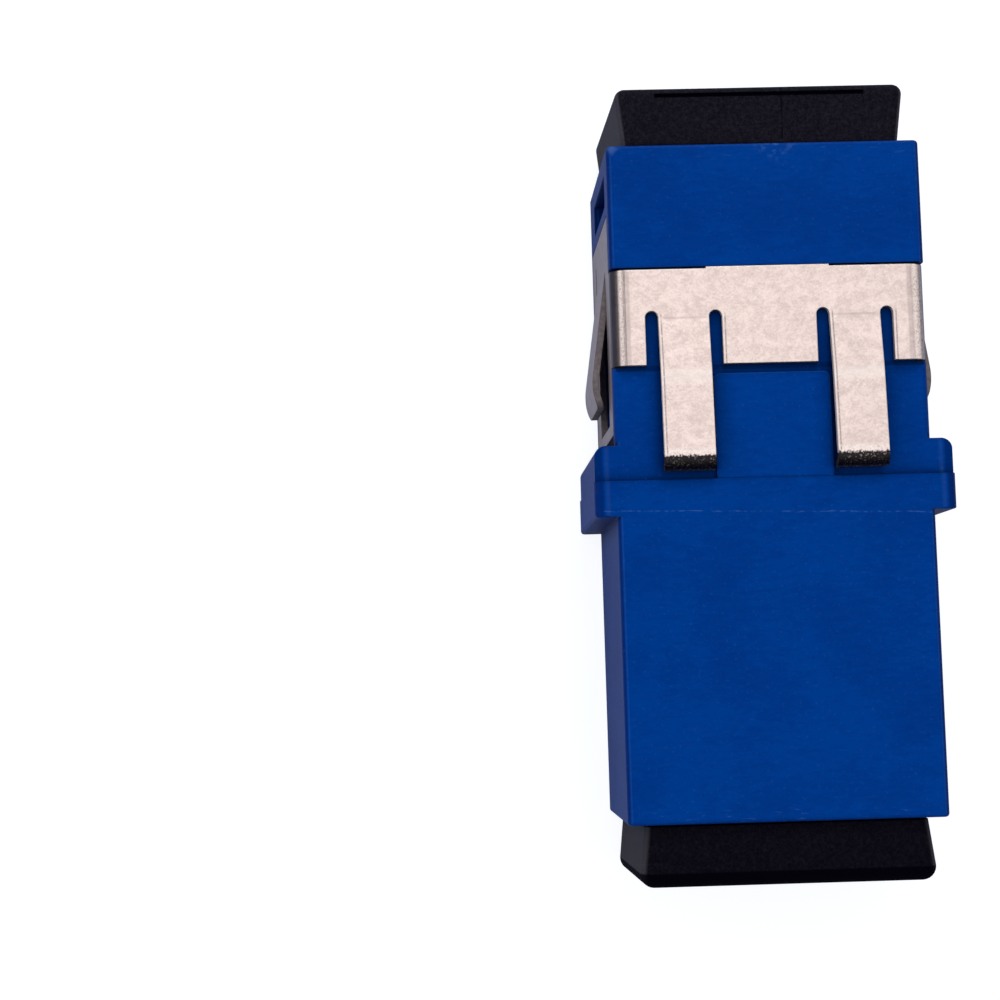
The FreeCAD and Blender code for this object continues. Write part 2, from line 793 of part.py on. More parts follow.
        # The tab springs out of the window and curls back in at its free end.
        tab = new_sketch(
            body, f"{name}_{word}_tab", FLAT, f"{AXIS_HEIGHT} - Sizes.tab_width / 2"
        )
        tab_lap = "(Sizes.tab_root + Sizes.sheet)"
        outline = []
        for level in (HALF_WIDTH, CLIP_INNER_SIDE):
            out = f"({level} + {TAB_RISE})"
            run = [
                (f"{side} * {level}", tab_lap),
                (f"{side} * {level}", "Sizes.tab_root"),
                (f"{side} * {out}", "Sizes.tab_crest"),
                (f"{side} * {out}", "(Sizes.tab_crest - Sizes.tab_flat)"),
                (f"{side} * ({out} - Sizes.tab_curl)", "Sizes.tab_tip"),
            ]
            outline += run if level is HALF_WIDTH else run[::-1]
        draw_outline(tab, outline)
        pad(body, tab, "Sizes.tab_width")

    finish_edges(
        body,
        "Fillet",
        f"{name}_tab_bends",
        TAB_BEND,
        lambda middle, box: (
            lies_at(box.YMin, box.YMax, "Sizes.tab_crest")
            or lies_at(box.YMin, box.YMax, "Sizes.tab_crest - Sizes.tab_flat")
        )
        and box.ZLength > measure("Sizes.tab_width / 2"),
    )
    finish_edges(
        body,
        "Fillet",
        f"{name}_tab_corners",
        "Sizes.tab_corner",
        lambda middle, box: (
            lies_at(box.YMin, box.YMax, "Sizes.tab_tip")
            and box.ZLength < 1e-4
            and abs(abs(middle.z - measure(AXIS_HEIGHT)) - measure("Sizes.tab_width / 2"))
            < 1e-4
        ),
    )

    # The lance cut along each tab's key side runs on past the root to a round end.
    cut_high = f"({AXIS_HEIGHT} - Sizes.tab_width / 2)"
    cut_low = f"({cut_high} - Sizes.tab_relief_width)"
    cut_middle = f"({cut_high} - Sizes.tab_relief_width / 2)"
    cut_turn = "(Sizes.tab_root + Sizes.tab_relief_length - Sizes.tab_relief_width / 2)"
    lance = new_sketch(body, f"{name}_lance_cuts", SIDEWAYS, f"-{BEYOND}")
    draw_outline(
        lance,
        [
            ("(Sizes.tab_root - Sizes.sheet)", cut_low),
            (cut_turn, cut_low, cut_turn, cut_middle, 1),
            (cut_turn, cut_high),
            ("(Sizes.tab_root - Sizes.sheet)", cut_high),
        ],
    )
    pocket(body, lance, f"2 * {BEYOND}")

    nib = new_sketch(body, f"{name}_nib", FLAT, CLIP_INNER_TOP)
    draw_rectangle(
        nib,
        "(-Sizes.nib_width / 2)",
        "(Sizes.nib_width / 2)",
        f"({BAND_END} - Sizes.sheet)",
        f"({BAND_END} + Sizes.nib_length)",
    )
    pad(body, nib, "Sizes.sheet")
    return body


def draw_head_section(sketch, key_width, clip_width, height):
    """A dust plug head's outline: wider along the key side than along the clip side."""
    low, high = f"({AXIS_HEIGHT} - {height} / 2)", f"({AXIS_HEIGHT} + {height} / 2)"
    draw_outline(
        sketch,
        [
            (f"(-{key_width} / 2)", low),
            (f"({key_width} / 2)", low),
            (f"({clip_width} / 2)", high),
            (f"(-{clip_width} / 2)", high),
        ],
    )


def build_dust_plug(name, head_rounding, grooved):
    """Hollow insert that fills the socket, with a flared head outside it."""
    body = new_body(name)

    insert_width = "(Sizes.socket_width - 2 * Sizes.plug_clearance)"
    insert_height = "(Sizes.socket_height - 2 * Sizes.plug_clearance)"
    insert = new_sketch(body, f"{name}_insert", ACROSS, f"-{PLUG_TIP}")
    draw_centred_section(
        insert, insert_width, insert_height, "Sizes.socket_rounding"
    )
    pad(body, insert, f"{HEAD_START} - {PLUG_TIP} + Sizes.plug_floor", forward=False)

    neck = new_sketch(body, f"{name}_neck", ACROSS, f"-{HEAD_START}")
    draw_head_section(
        neck, "Sizes.neck_key_width", "Sizes.neck_clip_width", "Sizes.neck_height"
    )
    face = new_sketch(body, f"{name}_face", ACROSS, f"-{HEAD_END}")
    draw_head_section(
        face, "Sizes.head_key_width", "Sizes.head_clip_width", "Sizes.head_height"
    )
    document.recompute()
    head = body.newObject("PartDesign::AdditiveLoft", f"{name}_head")
    head.Profile = neck
    head.Sections = [face]
    head.Ruled = True
    for sketch in (neck, face):
        sketch.Visibility = False
    document.recompute()

    finish_edges(
        body,
        "Fillet",
        f"{name}_head_rounding",
        head_rounding,
        lambda middle, box: (
            lies_at(box.YMin, box.YMax, HEAD_END)
            or (lies_at(box.YMin, box.YMin, HEAD_START) and lies_at(box.YMax, box.YMax, HEAD_END))
        ),
    )

    # A grip rim stands out along the head's outer end on the key side.
    rim_side = "(Sizes.neck_key_width / 2 - Sizes.rim_inset)"
    rim_foot = f"({AXIS_HEIGHT} - Sizes.head_height / 2 - Sizes.rim_step)"
    rim = new_sketch(body, f"{name}_rim", FLAT, rim_foot)
    draw_rectangle(
        rim,
        f"-{rim_side}",
        rim_side,
        f"({HEAD_END} - Sizes.rim_length)",
        f"({HEAD_END} - Sizes.rim_setback)",
    )
    pad(body, rim, f"(Sizes.rim_step + {head_rounding})")
    finish_edges(
        body,
        "Fillet",
        f"{name}_rim_rounding",
        "Sizes.rim_rounding",
        lambda middle, box: (
            lies_at(box.ZMin, box.ZMax, rim_foot)
            and box.YMax > measure(f"{HEAD_END} - Sizes.rim_length + 0.01")
        ),
    )

    if grooved:
        groove = new_sketch(
            body,
            f"{name}_groove",
            FLAT,
            f"{AXIS_HEIGHT} + Sizes.head_height / 2 - Sizes.groove_depth",
        )
        groove_end = f"({HEAD_END} - Sizes.groove_inset)"
        draw_rectangle(
            groove,
            "(-Sizes.groove_width / 2)",
            "(Sizes.groove_width / 2)",
            f"({groove_end} - Sizes.groove_length)",
            groove_end,
        )
        pocket(body, groove, BEYOND)

    hollow = new_sketch(body, f"{name}_hollow", ACROSS, f"-{PLUG_TIP}")
    draw_centred_section(
        hollow,
        f"({insert_width} - 2 * Sizes.plug_wall)",
        f"({insert_height} - 2 * Sizes.plug_wall)",
        "Sizes.socket_rounding",
    )
    pocket(
        body, hollow, f"{HEAD_START} - Sizes.plug_floor - {PLUG_TIP}", forward=False
    )

    slots = new_sketch(body, f"{name}_hook_slots", SIDEWAYS, f"-{BEYOND}")
    draw_rectangle(
        slots,
        f"({PLUG_TIP} - Sizes.plug_floor)",
        HOOK_SLOT_END,
        f"({AXIS_HEIGHT} - {ARM_SLOT_HALF})",
        f"({AXIS_HEIGHT} + {ARM_SLOT_HALF})",
    )
    pocket(body, slots, f"2 * {BEYOND}")
    return body


# Each half, holder and plug is drawn for the +Y end.
front_housing = build_housing_half("front_housing", FRONT_FLANGE, "Sizes.front_corner")
add_locating_pegs(front_housing, "Sizes.peg_radius", "Sizes.peg_length", raised=True)
cut_clip_seat(front_housing)

rear_housing = build_housing_half("rear_housing", "Sizes.flange_width", "Sizes.rear_corner")
add_locating_pegs(
    rear_housing,
    "Sizes.peg_radius + Sizes.peg_clearance",
    "Sizes.peg_length + Sizes.peg_clearance",
    raised=False,
)

pieces = [
    front_housing,
    rear_housing,
    build_latch_holder("front_latch_holder"),
    build_latch_holder("rear_latch_holder"),
    build_split_sleeve("split_sleeve"),
    build_mounting_clip("mounting_clip"),
    build_dust_plug("front_dust_plug", "Sizes.front_head_rounding", grooved=True),
    build_dust_plug("rear_dust_plug", "Sizes.rear_head_rounding", grooved=False),
]
for piece in pieces:
    if piece.Label.startswith("rear_"):
        turn_to_rear(piece)
document.recompute()

for item in document.Objects:
    if "Invalid" in item.State or "Error" in item.State:
        raise RuntimeError(f"{item.Label} did not recompute: {item.State}")
os.makedirs("parts", exist_ok=True)
for piece in pieces:
    if piece.Shape.isNull() or not piece.Shape.isValid():
        raise RuntimeError(f"{piece.Label} has no valid solid")
    piece.Shape.exportStep(f"parts/{piece.Label}.step")
    print(piece.Label, round(piece.Shape.Volume, 2), "mm3", len(piece.Shape.Solids))
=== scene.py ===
# %% [markdown]
# # A fibre adapter on a white table
# This notebook dresses the CAD model of a small fibre adapter: two blue moulded halves, a folded steel clip
# and two black dust plugs. The CAD solids already have the true sizes, so Blender's work here is the edges,
# the finishes, the small moulding marks, the light and the camera.
#
# First the frame is loaded. Each CAD node is an object at the origin whose place is in its mesh. Fibre runs
# along Y, the clip faces up along Z, and the middle of the flange is at Y = 0.

# %% Load the frame
import math

import bpy
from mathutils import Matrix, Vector


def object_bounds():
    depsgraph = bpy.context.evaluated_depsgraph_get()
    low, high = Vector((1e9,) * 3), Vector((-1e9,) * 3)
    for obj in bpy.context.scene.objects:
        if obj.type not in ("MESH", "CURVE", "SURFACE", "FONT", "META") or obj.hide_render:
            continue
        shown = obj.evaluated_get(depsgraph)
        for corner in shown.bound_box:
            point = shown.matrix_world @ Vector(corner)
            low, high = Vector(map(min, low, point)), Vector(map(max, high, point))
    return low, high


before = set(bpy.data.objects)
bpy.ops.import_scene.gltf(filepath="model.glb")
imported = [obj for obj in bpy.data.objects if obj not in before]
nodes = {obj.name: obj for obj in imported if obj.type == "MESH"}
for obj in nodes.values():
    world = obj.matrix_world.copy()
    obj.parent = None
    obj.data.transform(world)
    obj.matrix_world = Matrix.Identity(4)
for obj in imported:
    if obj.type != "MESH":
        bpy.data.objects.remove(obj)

cad_low, cad_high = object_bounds()
MM = 0.001
print("nodes:", sorted(nodes))
print("CAD box in mm:", [round(v / MM, 2) for v in (*cad_low, *cad_high)])

# %% [markdown]
# ## The camera
# The adapter lies on its key face and the camera looks almost straight down on it, from a little beyond its
# left side. A long lens at a short distance still shows some of the narrow side, so the lens, the place and
# the turn are all given and nothing is fitted.

# %% Camera
camera_data = bpy.data.cameras.new("camera")
camera_data.lens = 71.17
camera_data.sensor_width = 36.0
camera_data.clip_start = 0.002
camera_data.clip_end = 10.0
camera = bpy.data.objects.new("camera", camera_data)
camera.location = (-0.013154, -0.007799, 0.087889)
camera.rotation_euler = [math.radians(a) for a in (5.236, -1.356, -1.599)]
bpy.context.scene.collection.objects.link(camera)
bpy.context.scene.camera = camera
bpy.context.scene.view_settings.view_transform = "Standard"
print("camera height above the table in mm:", round(camera.location.z / MM, 1))

# %% [markdown]
# ## Writing shaders as sums
# A finish is easier to read as arithmetic than as a web of nodes. A small class holds one output socket and
# turns +, -, * and / into Math nodes. Everything else, such as a noise or a bump, comes from one method that
# takes the node's type, its settings and its inputs.
#
# Most masks are built from `step`, a smooth rise from 0 to 1 between two values. A line at `x = c` is
# `1 - |x - c|.step(a, b)`: it is 1 within `a` of the line and 0 from `b` outwards.


# %% Shader helper
class Value:
    """One output socket of a node tree. Arithmetic on values adds Math nodes to the tree."""

    def __init__(self, tree, socket):
        self.tree, self.socket = tree, socket

    def node(self, kind, settings=None, out=0, **inputs):
        """Adds a node. settings are set first; inputs name sockets, with _ for a space or i3 for number 3."""
        made = self.tree.nodes.new(kind)
        for key, setting in (settings or {}).items():
            setattr(made, key, setting)
        for key, value in inputs.items():
            place = made.inputs[int(key[1:])] if key[1:].isdigit() else made.inputs[key.replace("_", " ")]
            if isinstance(value, Value):
                self.tree.links.new(value.socket, place)
            else:
                place.default_value = value
        return Value(self.tree, made.outputs[out])

    def math(self, operation, other=0.0, flip=False, clamp=False):
        a, b = (other, self) if flip else (self, other)
        return self.node("ShaderNodeMath", {"operation": operation, "use_clamp": clamp}, i0=a, i1=b)

    def __add__(self, other):
        return self.math("ADD", other)

    __radd__ = __add__

    def __sub__(self, other):
        return self.math("SUBTRACT", other)

    def __rsub__(self, other):
        return self.math("SUBTRACT", other, flip=True)

    def __mul__(self, other):
        return self.math("MULTIPLY", other)

    __rmul__ = __mul__

    def __truediv__(self, other):
        return self.math("DIVIDE", other)

    def __abs__(self):
        return self.math("ABSOLUTE")

    def __neg__(self):
        return 0.0 - self

    def clip(self):
        """The value held between 0 and 1."""
        return self.math("ADD", 0.0, clamp=True)

    def step(self, start, end):
        """Rises smoothly from 0 at start to 1 at end: t = (v - start) / (end - start), 3 t^2 - 2 t^3."""
        return self.node(
            "ShaderNodeMapRange", {"interpolation_type": "SMOOTHSTEP"},
            Value=self, From_Min=start, From_Max=end, To_Min=0.0, To_Max=1.0,
        )

    def tint(self, low, high):
        """Mixes two colours by this value."""
        return self.node(
            "ShaderNodeMix", {"data_type": "RGBA", "clamp_factor": True}, out=2,
            i0=self, i6=low if isinstance(low, Value) else (*low, 1.0),
            i7=high if isinstance(high, Value) else (*high, 1.0),
        )

    def parts(self):
        """The three components of a vector."""
        split = self.tree.nodes.new("ShaderNodeSeparateXYZ")
        self.tree.links.new(self.socket, split.inputs[0])
        return [Value(self.tree, split.outputs[i]) for i in range(3)]


class Finish:
    """A new material with its Principled shader and object coordinates in millimetres."""

    def __init__(self, name):
        self.material = bpy.data.materials.new(name)
        self.material.use_nodes = True
        self.tree = self.material.node_tree
        self.shader = self.tree.nodes["Principled BSDF"]
        start = Value(self.tree, None)
        metres = start.node("ShaderNodeTexCoord", out=3)
        self.place = metres.node("ShaderNodeVectorMath", {"operation": "SCALE"}, Vector=metres, Scale=1.0 / MM)
        self.x, self.y, self.z = self.place.parts()
        self.facing = start.node("ShaderNodeNewGeometry", out=1).parts()

    def noise(self, per_mm, detail=2.0, roughness=0.5, stretch=(1.0, 1.0, 1.0), swirl=0.0):
        """Noise about 0 to 1 with per_mm features a millimetre, stretched along the axes."""
        place = self.place.node(
            "ShaderNodeMapping", {"vector_type": "POINT"}, Vector=self.place, Scale=stretch
        )
        return place.node(
            "ShaderNodeTexNoise", Vector=place, Scale=per_mm, Detail=detail, Roughness=roughness,
            Distortion=swirl,
        )

    def set(self, **values):
        """Sets or links inputs of the Principled shader, named with _ for a space."""
        for key, value in values.items():
            socket = self.shader.inputs[key.replace("_", " ")]
            if isinstance(value, Value):
                self.tree.links.new(value.socket, socket)
            else:
                socket.default_value = (*value, 1.0) if isinstance(value, tuple) else value

    def soft_edges(self, radius_mm):
        """The normal as if every edge had this radius, and a mask that is 1 on the edges."""
        rounded = self.place.node("ShaderNodeBevel", {"samples": 3}, Radius=radius_mm * MM)
        flat = self.place.node("ShaderNodeNewGeometry", out=1)
        agree = rounded.node("ShaderNodeVectorMath", {"operation": "DOT_PRODUCT"}, out=1, i0=rounded, i1=flat)
        return rounded, 1.0 - agree.step(0.80, 0.99)

    def open_sky(self, reach_mm):
        """1 in the open, falling towards 0 where another surface within reach covers the spot."""
        return self.place.node("ShaderNodeAmbientOcclusion", {"samples": 2}, out=1, Distance=reach_mm * MM)

    def relief(self, height, depth_mm, rounded):
        """Feeds a height of 0 to 1 to Normal as a bump that deep over the rounded normal."""
        bump = height.node(
            "ShaderNodeBump", Height=height, Strength=1.0, Distance=depth_mm * MM, Normal=rounded
        )
        self.set(Normal=bump)


def line(value, half, soft):
    """1 where value is within half of 0, falling to 0 at soft."""
    return 1.0 - abs(value).step(half, soft)


print("shader helper ready")

# %% [markdown]
# ## Blue moulded plastic
# The halves are moulded in a deep blue with a satin skin. From above the skin shows hardly any reflection,
# and what there is stays blue, so the specular tint is blue too. A fine grain and a brushed noise break the
# colour up. Four things then follow the shape:
#
# - corners and slots that another surface covers get painted shade, from an occlusion mask with a reach of 1
#   mm
# - the outer edges of the clip face carry painted shade where they round off, with a broader faint band of
#   painted shade, and inside it a pale painted highlight line
# - a thin flash line runs beside the flange, a dark seam marks where the halves meet, and a painted shadow
#   line lies under the lower edge of the clip band
# - the ends are scuffed, with one rubbed corner and a few chips


# %% Blue plastic
def blue_plastic(name, deep, pale, scuffs):
    """Deep blue with grain, painted shade in hollows, along the edges and under the band, a pale painted
    highlight line, and a share of scuffs.
    """
    finish = Finish(name)
    x, y, z = finish.x, finish.y, finish.z
    face_half, flange_half, clip_face = 6.38, 7.22, 9.1
    top = finish.facing[2].step(0.8, 0.95)
    rounded, edge = finish.soft_edges(0.09)
    broad_rim_shade = finish.soft_edges(0.30)[1]

    grain = finish.noise(9.0, 3.0, 0.6)
    brushed = finish.noise(5.0, 3.0, 0.6, (0.35, 1.0, 1.0), 0.6)
    drift = finish.noise(0.35, 3.0).step(0.3, 0.7)
    speck = finish.noise(7.0, 2.0, 0.5).step(0.58, 0.78)
    ragged = finish.noise(4.0, 3.0, 0.6)

    scratch = finish.noise(3.0, 2.0, 0.6, (0.5, 3.0, 3.0)).step(0.62, 0.74)
    rubbed = scratch * abs(y).step(12.7, 13.6) * z.step(8.6, 9.25)
    wander = y + x * 0.0265 + 1.383 + (finish.noise(0.8, 2.0) - 0.5) * 0.14
    flash = line(wander, 0.005, 0.045) * ragged.step(0.42, 0.62) * top * z.step(clip_face, 9.25)
    upper = z.step(9.0, 9.2)
    corner = (1.0 - (abs(x + 6.15) + abs(y - 13.55)).step(0.05, 0.38)) * upper
    chips = (1.0 - (abs(x - 0.5) * 0.6 + abs(y - 13.55)).step(0.1, 0.9)) * ragged.step(0.46, 0.70) * upper
    worn = (rubbed * 0.10 + flash * 0.13 + corner * 0.20 + chips * 0.16) * scuffs

    side = abs(x)
    flange = line(y, 1.38, 1.46)
    inset = flange * flange_half + (1.0 - flange) * face_half - side
    width = flange * 0.30 + (1.0 - flange) * 0.10
    bare = 1.0 - y.step(1.5, 1.7) * (1.0 - y.step(8.4, 8.7))
    rim_shade = (1.0 - (inset / width).step(0.8, 1.15)) * finish.facing[2].step(0.25, 0.6) * bare
    beyond = inset / width - 1.5
    # painted highlight: a pale line just inside the painted edge shade
    rim_highlight = beyond.step(-0.4, -0.1) * (1.0 - beyond.step(0.1, 0.5)) * top * bare
    # painted shadow: a dark line on the blue just under the lower edge of the clip band
    band_shadow = line(y - 4.555, 0.07, 0.14) * (1.0 - side.step(6.2, 6.35)) * z.step(7.0, 7.3)
    seam = line(y, 0.01, 0.07) * (1.0 - side.step(6.8, 7.1)) * top
    # painted shade: an occlusion mask darkens spots that another surface covers
    covered = 1.0 - finish.open_sky(1.0)
    edge = edge * abs(y).step(0.12, 0.2)

    blue = (drift * 0.25 + brushed * 0.75).step(0.25, 0.75).tint(deep, pale)
    # painted shade on the rounded outer edges of the clip face
    blue = (rim_shade * 0.75).tint(blue, (0.0, 0.012, 0.12))
    # painted shade from the occlusion mask and the painted shadow under the band, together with the dark seam
    # where the halves meet
    dark = (covered.step(0.02, 0.50) * 0.90 + seam * 0.2 + band_shadow * 0.85).clip()
    blue = dark.tint(blue, (0.0, 0.006, 0.06))
    # painted shade: a broad faint darkening within 0.3 mm of the edges on upward faces
    blue = (broad_rim_shade * (1.0 - edge * 0.8) * top * 0.45).tint(blue, (0.0, 0.012, 0.10))
    # real scuffs, flash, chips and edge wear and random specks, plus the painted rim highlight
    wear_and_highlight = (worn + speck * 0.035 + rim_highlight * 0.035 + edge * 0.06).clip()
    finish.set(
        Base_Color=wear_and_highlight.tint(blue, (0.20, 0.40, 0.80)),
        Roughness=(0.36 + grain * 0.14 + wear_and_highlight * 0.2).clip(),
        Specular_IOR_Level=0.45,
        Specular_Tint=(0.0, 0.22, 0.9),
    )
    finish.relief(grain * 0.6 + brushed * 0.3, 0.014, rounded)
    return finish.material


housing_blue = blue_plastic("satin blue moulding", (0.0, 0.033, 0.245), (0.0, 0.046, 0.305), 1.0)
holder_blue = blue_plastic("inner blue moulding", (0.0, 0.040, 0.250), (0.0, 0.048, 0.290), 0.0)
print("blue plastics made")

# %% [markdown]
# ## Rolled steel
# The clip is cut from bright rolled sheet and then folded, so its zones look different:
#
# - the flat faces are a warm pale grey, mottled, with thin veins and small painted glints
# - the fold over each long edge carries speckled bright and dark bands of painted reflection with a band of
#   painted shade inside it; beyond it the sheet turns down and takes a near black painted shade
# - the fingers have a painted highlight on the knee and heel, painted shade on the root bend, a near black
#   painted shade on the curl at the tip, and thin dark lines beside some cut edges
# - the cut edges are torn and dull; the ones that face left carry a painted highlight
# - the crest of the side tab carries a painted highlight
#
# Its light comes nearly all from reflection, so its bright and dark reflections, glints and shade are painted
# into each zone as a colour of the metal.


# %% Clip steel
def rolled_steel(name):
    """Bright rolled faces with painted reflections, glints, highlights and shade at the fold, fingers and tab,
    and torn cut edges.
    """
    finish = Finish(name)
    x, y, z = finish.x, finish.y, finish.z
    across = abs(x)
    side, _, up = (abs(way) for way in finish.facing)
    rounded = finish.soft_edges(0.06)[0]
    edge_highlight = finish.soft_edges(0.14)[1]

    on_leg = (8.9 - z).step(-0.05, 0.05) * across.step(6.0, 6.1)
    sheared = (1.0 - up.step(0.25, 0.5)) * (1.0 - on_leg) * (1.0 - across.step(6.0, 6.1))
    sheared = (sheared + (1.0 - side.step(0.25, 0.5)) * on_leg).clip()

    patches = finish.noise(1.5, 4.0, 0.65, (1.0, 1.2, 1.0), 0.8)
    streaks = finish.noise(3.0, 4.0, 0.7, (0.8, 1.2, 1.0), 1.0)
    fine = finish.noise(11.0, 3.0, 0.7)
    painted_glint = finish.noise(7.0, 3.0, 0.7).step(0.58, 0.70)
    vein = line(finish.noise(2.4, 3.0, 0.6, (1.0, 1.0, 1.0), 1.5) - 0.5, 0.0, 0.035)
    ragged = (fine - 0.5) * 0.45

    rough_across = across + ragged * 0.6
    fold = rough_across.step(5.84, 5.92) * (1.0 - rough_across.step(6.14, 6.26))
    inner = across.step(5.60, 5.68) * (1.0 - across.step(5.82, 5.90))
    outer = (-x + ragged * 0.3).step(6.02, 6.14) + x.step(6.25, 6.35) * 0.6
    curl = (1.0 - (y + ragged * 0.7).step(0.84, 0.93)) * z.step(9.0, 9.1)
    heel = line(y + ragged - 1.05, 0.05, 0.22) * z.step(9.2, 9.3)
    knee = line(y + ragged - 4.1, 0.1, 0.45) * (1.0 - across.step(5.5, 5.6))
    root = line(y - 6.55, 0.02, 0.07) * line(across - 3.4, 0.85, 0.95)

    on_band = y.step(4.6, 4.7)
    thin_dark_line = 0.0
    for place, share in ((-4.39, 1.0), (2.56, 1.0), (-1.80, on_band), (5.15, on_band)):
        thin_dark_line = line(x - place + ragged * 0.05, 0.01, 0.045) * share + thin_dark_line
    thin_dark_line = thin_dark_line * (1.0 - y.step(6.6, 6.8)) * y.step(0.9, 1.0) * z.step(8.9, 9.1)

    tone = ((patches * 0.4 + streaks * 0.3 + fine * 0.3).step(0.36, 0.63) - vein * 0.25).clip()
    # painted highlight on the knees, the heels and along the cut edges, kept off the turned-down sheet
    bright = ((knee * 0.4 + heel * fine.step(0.35, 0.6) * 0.6 + edge_highlight * 0.7) * (1.0 - outer)).clip()
    rolled = tone.tint((0.73, 0.585, 0.55), (1.0, 0.83, 0.78))
    for share, colour in (
        # painted glints: small bright points on the flat faces
        ((painted_glint * 0.45).clip(), (1.0, 0.90, 0.86)),
        # painted reflection: speckled bright and dark bands across the fold
        (fold * fine.step(0.36, 0.60), (0.84, 0.74, 0.70)),
        (fold * (1.0 - fine.step(0.36, 0.55)) * 0.6, (0.36, 0.30, 0.30)),
        # painted shade: a band just inside the fold and a line along each finger's root bend
        ((inner * 0.45 + root * fine * 0.6).clip(), (0.40, 0.33, 0.33)),
        (bright, (1.0, 0.91, 0.87)),
        # thin dark lines beside the left edges of the fingers and two band slots
        ((thin_dark_line * fine.step(0.35, 0.5) * 0.8).clip(), (0.30, 0.25, 0.25)),
        # painted shade: the sheet beyond the fold, turned down, is near black
        (outer * z.step(8.6, 8.8) * 0.93, (0.06, 0.052, 0.065)),
        # painted shade: the curled finger tips are near black
        (curl * (1.0 - fine.step(0.55, 0.72) * 0.35) * 0.98, (0.006, 0.006, 0.010)),
        # painted reflection: the leg faces are darker, as they mirror the shaded table beside the clip
        (on_leg * 0.35, (0.45, 0.40, 0.44)),
    ):
        rolled = share.tint(rolled, colour)

    # painted highlight on the cut edges that face left
    left_facing_highlight = (-finish.facing[0]).step(0.6, 0.9) * z.step(8.9, 9.05)
    # painted highlight on the crest of the side tab
    tab_highlight = 1.0 - (abs(y - 4.4) * 0.5 + abs(z - 5.75)).step(0.08, 0.22)
    torn = finish.noise(6.0, 2.0, 0.6, (1.0, 1.0, 0.3)).tint((0.09, 0.078, 0.084), (0.32, 0.28, 0.29))
    torn = (left_facing_highlight * 0.8).tint(torn, (0.85, 0.76, 0.72))
    torn = tab_highlight.tint(torn, (1.0, 0.93, 0.90))
    finish.set(
        Base_Color=(sheared * (1.0 - curl)).tint(rolled, torn),
        Metallic=1.0 - sheared * 0.5,
        Roughness=(0.28 + patches * 0.10 + fine * 0.08 + sheared * 0.35).clip(),
    )
    swell = (across - 5.80).math("MAXIMUM", 0.0).math("MINIMUM", 0.38) * z.step(8.6, 8.8)
    finish.relief(streaks * 0.5 + fine * 0.35 + patches * 0.2 + fold * fine + swell * 28.0, 0.016, rounded)
    return finish.material


clip_steel = rolled_steel("bright rolled sheet")
print("steel made")

# %% [markdown]
# ## Black grained plastic and white ceramic
# The dust plugs are soft black moulding with a fine spark-eroded grain and painted glints here and there.
# Their narrow sides carry a paler painted sheen. The groove across the front head and the lip of the rear head
# carry near black painted shade, and the mould left a hairline on the front head. The rear plug takes a shaded
# copy of the finish, with a weaker painted sheen and fewer glints. The sleeve is polished zirconia: nearly
# white, smooth and glossy.


# %% Plug and sleeve
def black_plastic(name, sheen, light_share):
    """Near black grain with painted glints and a paler painted sheen on the narrow sides, both scaled by
    light_share, and painted shade in the groove and lip.
    """
    finish = Finish(name)
    x, y = finish.x, finish.y
    rounded = finish.soft_edges(0.10)[0]
    grain = finish.noise(11.0, 3.0, 0.75)
    broad = finish.noise(0.8, 2.0)
    # painted glints in the grain
    glint = finish.noise(6.0, 4.0, 0.8).step(0.42, 0.66)
    # painted sheen: the narrow sides are paler
    narrow = abs(finish.facing[0]).step(0.5, 0.8)

    # the mould hairline, and painted shade in the groove and on the rounded lip
    hairline = line(x - 0.9, 0.01, 0.04) * y.step(13.9, 14.0)
    groove = line(x, 4.28, 4.34) * (y.step(15.72, 15.76) - y.step(15.90, 15.94))
    lip = 1.0 - (y + 15.62).step(-0.04, 0.04)
    dark = (hairline * 0.6 + groove + lip * 0.9).clip()

    grain_and_glints = (grain.step(0.35, 0.7) * 0.25 + broad * 0.1 + glint * 0.25) * (light_share * 0.66)
    tone = (grain_and_glints + narrow * (0.55 + light_share * 0.5)).clip() * (1.0 - dark)
    finish.set(
        Base_Color=tone.tint((0.0008, 0.0006, 0.0030), (0.060, 0.054, 0.068)),
        Roughness=(0.50 + grain * 0.2 + dark * 0.5).clip(),
        Specular_IOR_Level=sheen,
        Specular_Tint=(0.09, 0.075, 0.20),
    )
    finish.relief((grain * 0.7 + glint * 0.4).clip(), 0.030, rounded)
    return finish.material


def ceramic(name):
    """Glossy near white with a faint cloud in it."""
    finish = Finish(name)
    cloud = finish.noise(1.5, 3.0)
    finish.set(
        Base_Color=cloud.tint((0.80, 0.79, 0.74), (0.90, 0.89, 0.86)),
        Roughness=0.14 + cloud * 0.08,
        Specular_IOR_Level=0.6,
    )
    return finish.material


front_black = black_plastic("grained black moulding", 0.32, 0.9)
# the rear plug is a shaded copy: a weaker painted side sheen and fewer painted glints
shaded_rear_black = black_plastic("dark grained moulding", 0.20, 0.40)
sleeve_white = ceramic("polished zirconia")
print("plug and sleeve finishes made")

# %% [markdown]
# ## Dressing the CAD nodes
# The solids already have their true outlines, so each node keeps its mesh and takes a finish. The latch
# holders and the sleeve sit deep in the sockets and show only once a dust plug is out.

# %% Materials on the nodes
finishes = {
    "front_housing": housing_blue,
    "rear_housing": housing_blue,
    "front_latch_holder": holder_blue,
    "rear_latch_holder": holder_blue,
    "split_sleeve": sleeve_white,
    "mounting_clip": clip_steel,
    "front_dust_plug": front_black,
    "rear_dust_plug": shaded_rear_black,
}
for node, material in finishes.items():
    for slot in nodes[node].material_slots:
        slot.material = material
    print(node, "takes", material.name)

# %% [markdown]
# ## Table and light
# The adapter lies on a pale table under a dome that is bright overhead and dim at the horizon, so faces
# turned sideways are darker than faces turned up. The table and the dome look white because both add light
# of their own for rays that come straight from the camera. Rays off a gloss or through glass see a small
# share of that white. The table still takes the adapter's soft shadow.

# %% Table


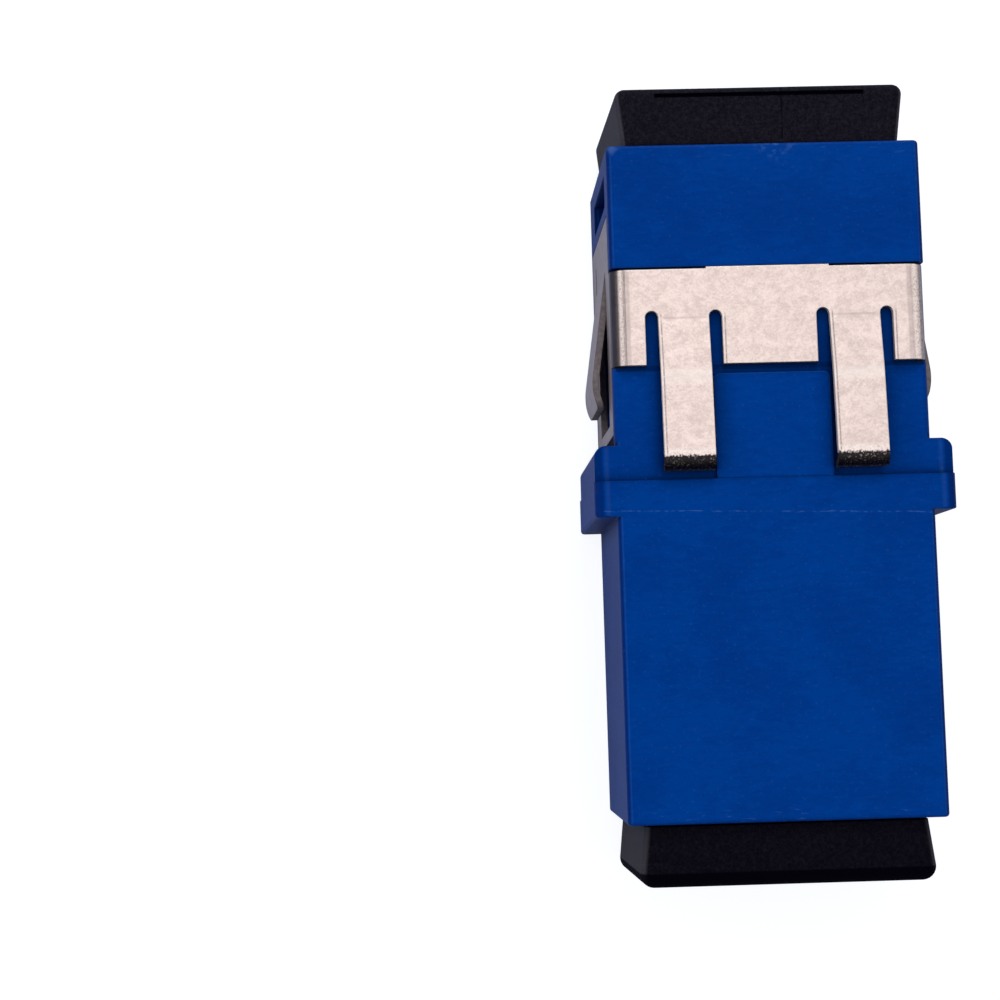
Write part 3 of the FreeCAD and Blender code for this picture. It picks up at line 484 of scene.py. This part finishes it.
def seen_white(tree, share):
    """1 for rays from the camera and that share for rays off a gloss or through glass."""
    path = tree.nodes.new("ShaderNodeLightPath")
    kinds = ("Is Camera Ray", "Is Glossy Ray", "Is Transmission Ray")
    straight, gloss, glass = (Value(tree, path.outputs[kind]) for kind in kinds)
    return (straight + (gloss + glass) * share).clip()


table_low = float(cad_low[2])
reach = 3.0
table_mesh = bpy.data.meshes.new("table")
table_mesh.from_pydata(
    [(x, y, table_low) for x, y in ((-reach, -reach), (reach, -reach), (reach, reach), (-reach, reach))],
    [], [(0, 1, 2, 3)],
)
table = bpy.data.objects.new("table", table_mesh)
bpy.context.scene.collection.objects.link(table)
white = Finish("white table")
white.set(Base_Color=(0.29, 0.335, 0.45), Roughness=0.9, Specular_IOR_Level=0.0)
white.set(Emission_Color=(1.0, 1.0, 1.0), Emission_Strength=seen_white(white.tree, 0.06) * 0.85)
table_mesh.materials.append(white.material)
print("table laid at z =", table_low)

# %% [markdown]
# The dome is brightest around the zenith. It leans: the part beyond the left side and beyond the rear end
# is dimmer. A low bright strip on the left lights the fold of the clip and the narrow side. One softbox
# stands well beyond the front end, low over the table, and gives the grain and the steel their sparkle.

# %% Dome and softbox
world = bpy.data.worlds.new("dome")
bpy.context.scene.world = world
world.use_nodes = True
dome = world.node_tree
background = dome.nodes["Background"]
across, along, height = Value(dome, None).node("ShaderNodeTexCoord", out=0).parts()
lean = (1.0 + across * 0.40 + along * 0.30).clip()
overhead = (height.step(0.15, 0.95) * 0.52 + height.step(0.72, 0.93) * 0.52) * lean
left_strip = (-across).step(0.45, 0.75) * height.step(0.22, 0.36) * (1.0 - height.step(0.55, 0.65))
level = overhead + left_strip * 1.7 + 0.05
direct = seen_white(dome, 0.05)
dome.links.new((direct + (1.0 - direct) * level).socket, background.inputs["Strength"])
background.inputs["Color"].default_value = (1.0, 1.0, 1.0, 1.0)


def softbox(name, place, size, power):
    """A square area light of that size in metres, turned to face the middle of the adapter."""
    data = bpy.data.lights.new(name, "AREA")
    data.size = size
    data.energy = power
    lamp = bpy.data.objects.new(name, data)
    lamp.location = place
    lamp.rotation_mode = "QUATERNION"
    lamp.rotation_quaternion = (-Vector(place)).to_track_quat("-Z", "Y")
    bpy.context.scene.collection.objects.link(lamp)


softbox("key", (0.03, 0.34, 0.22), 0.10, 0.40)
print("light set")
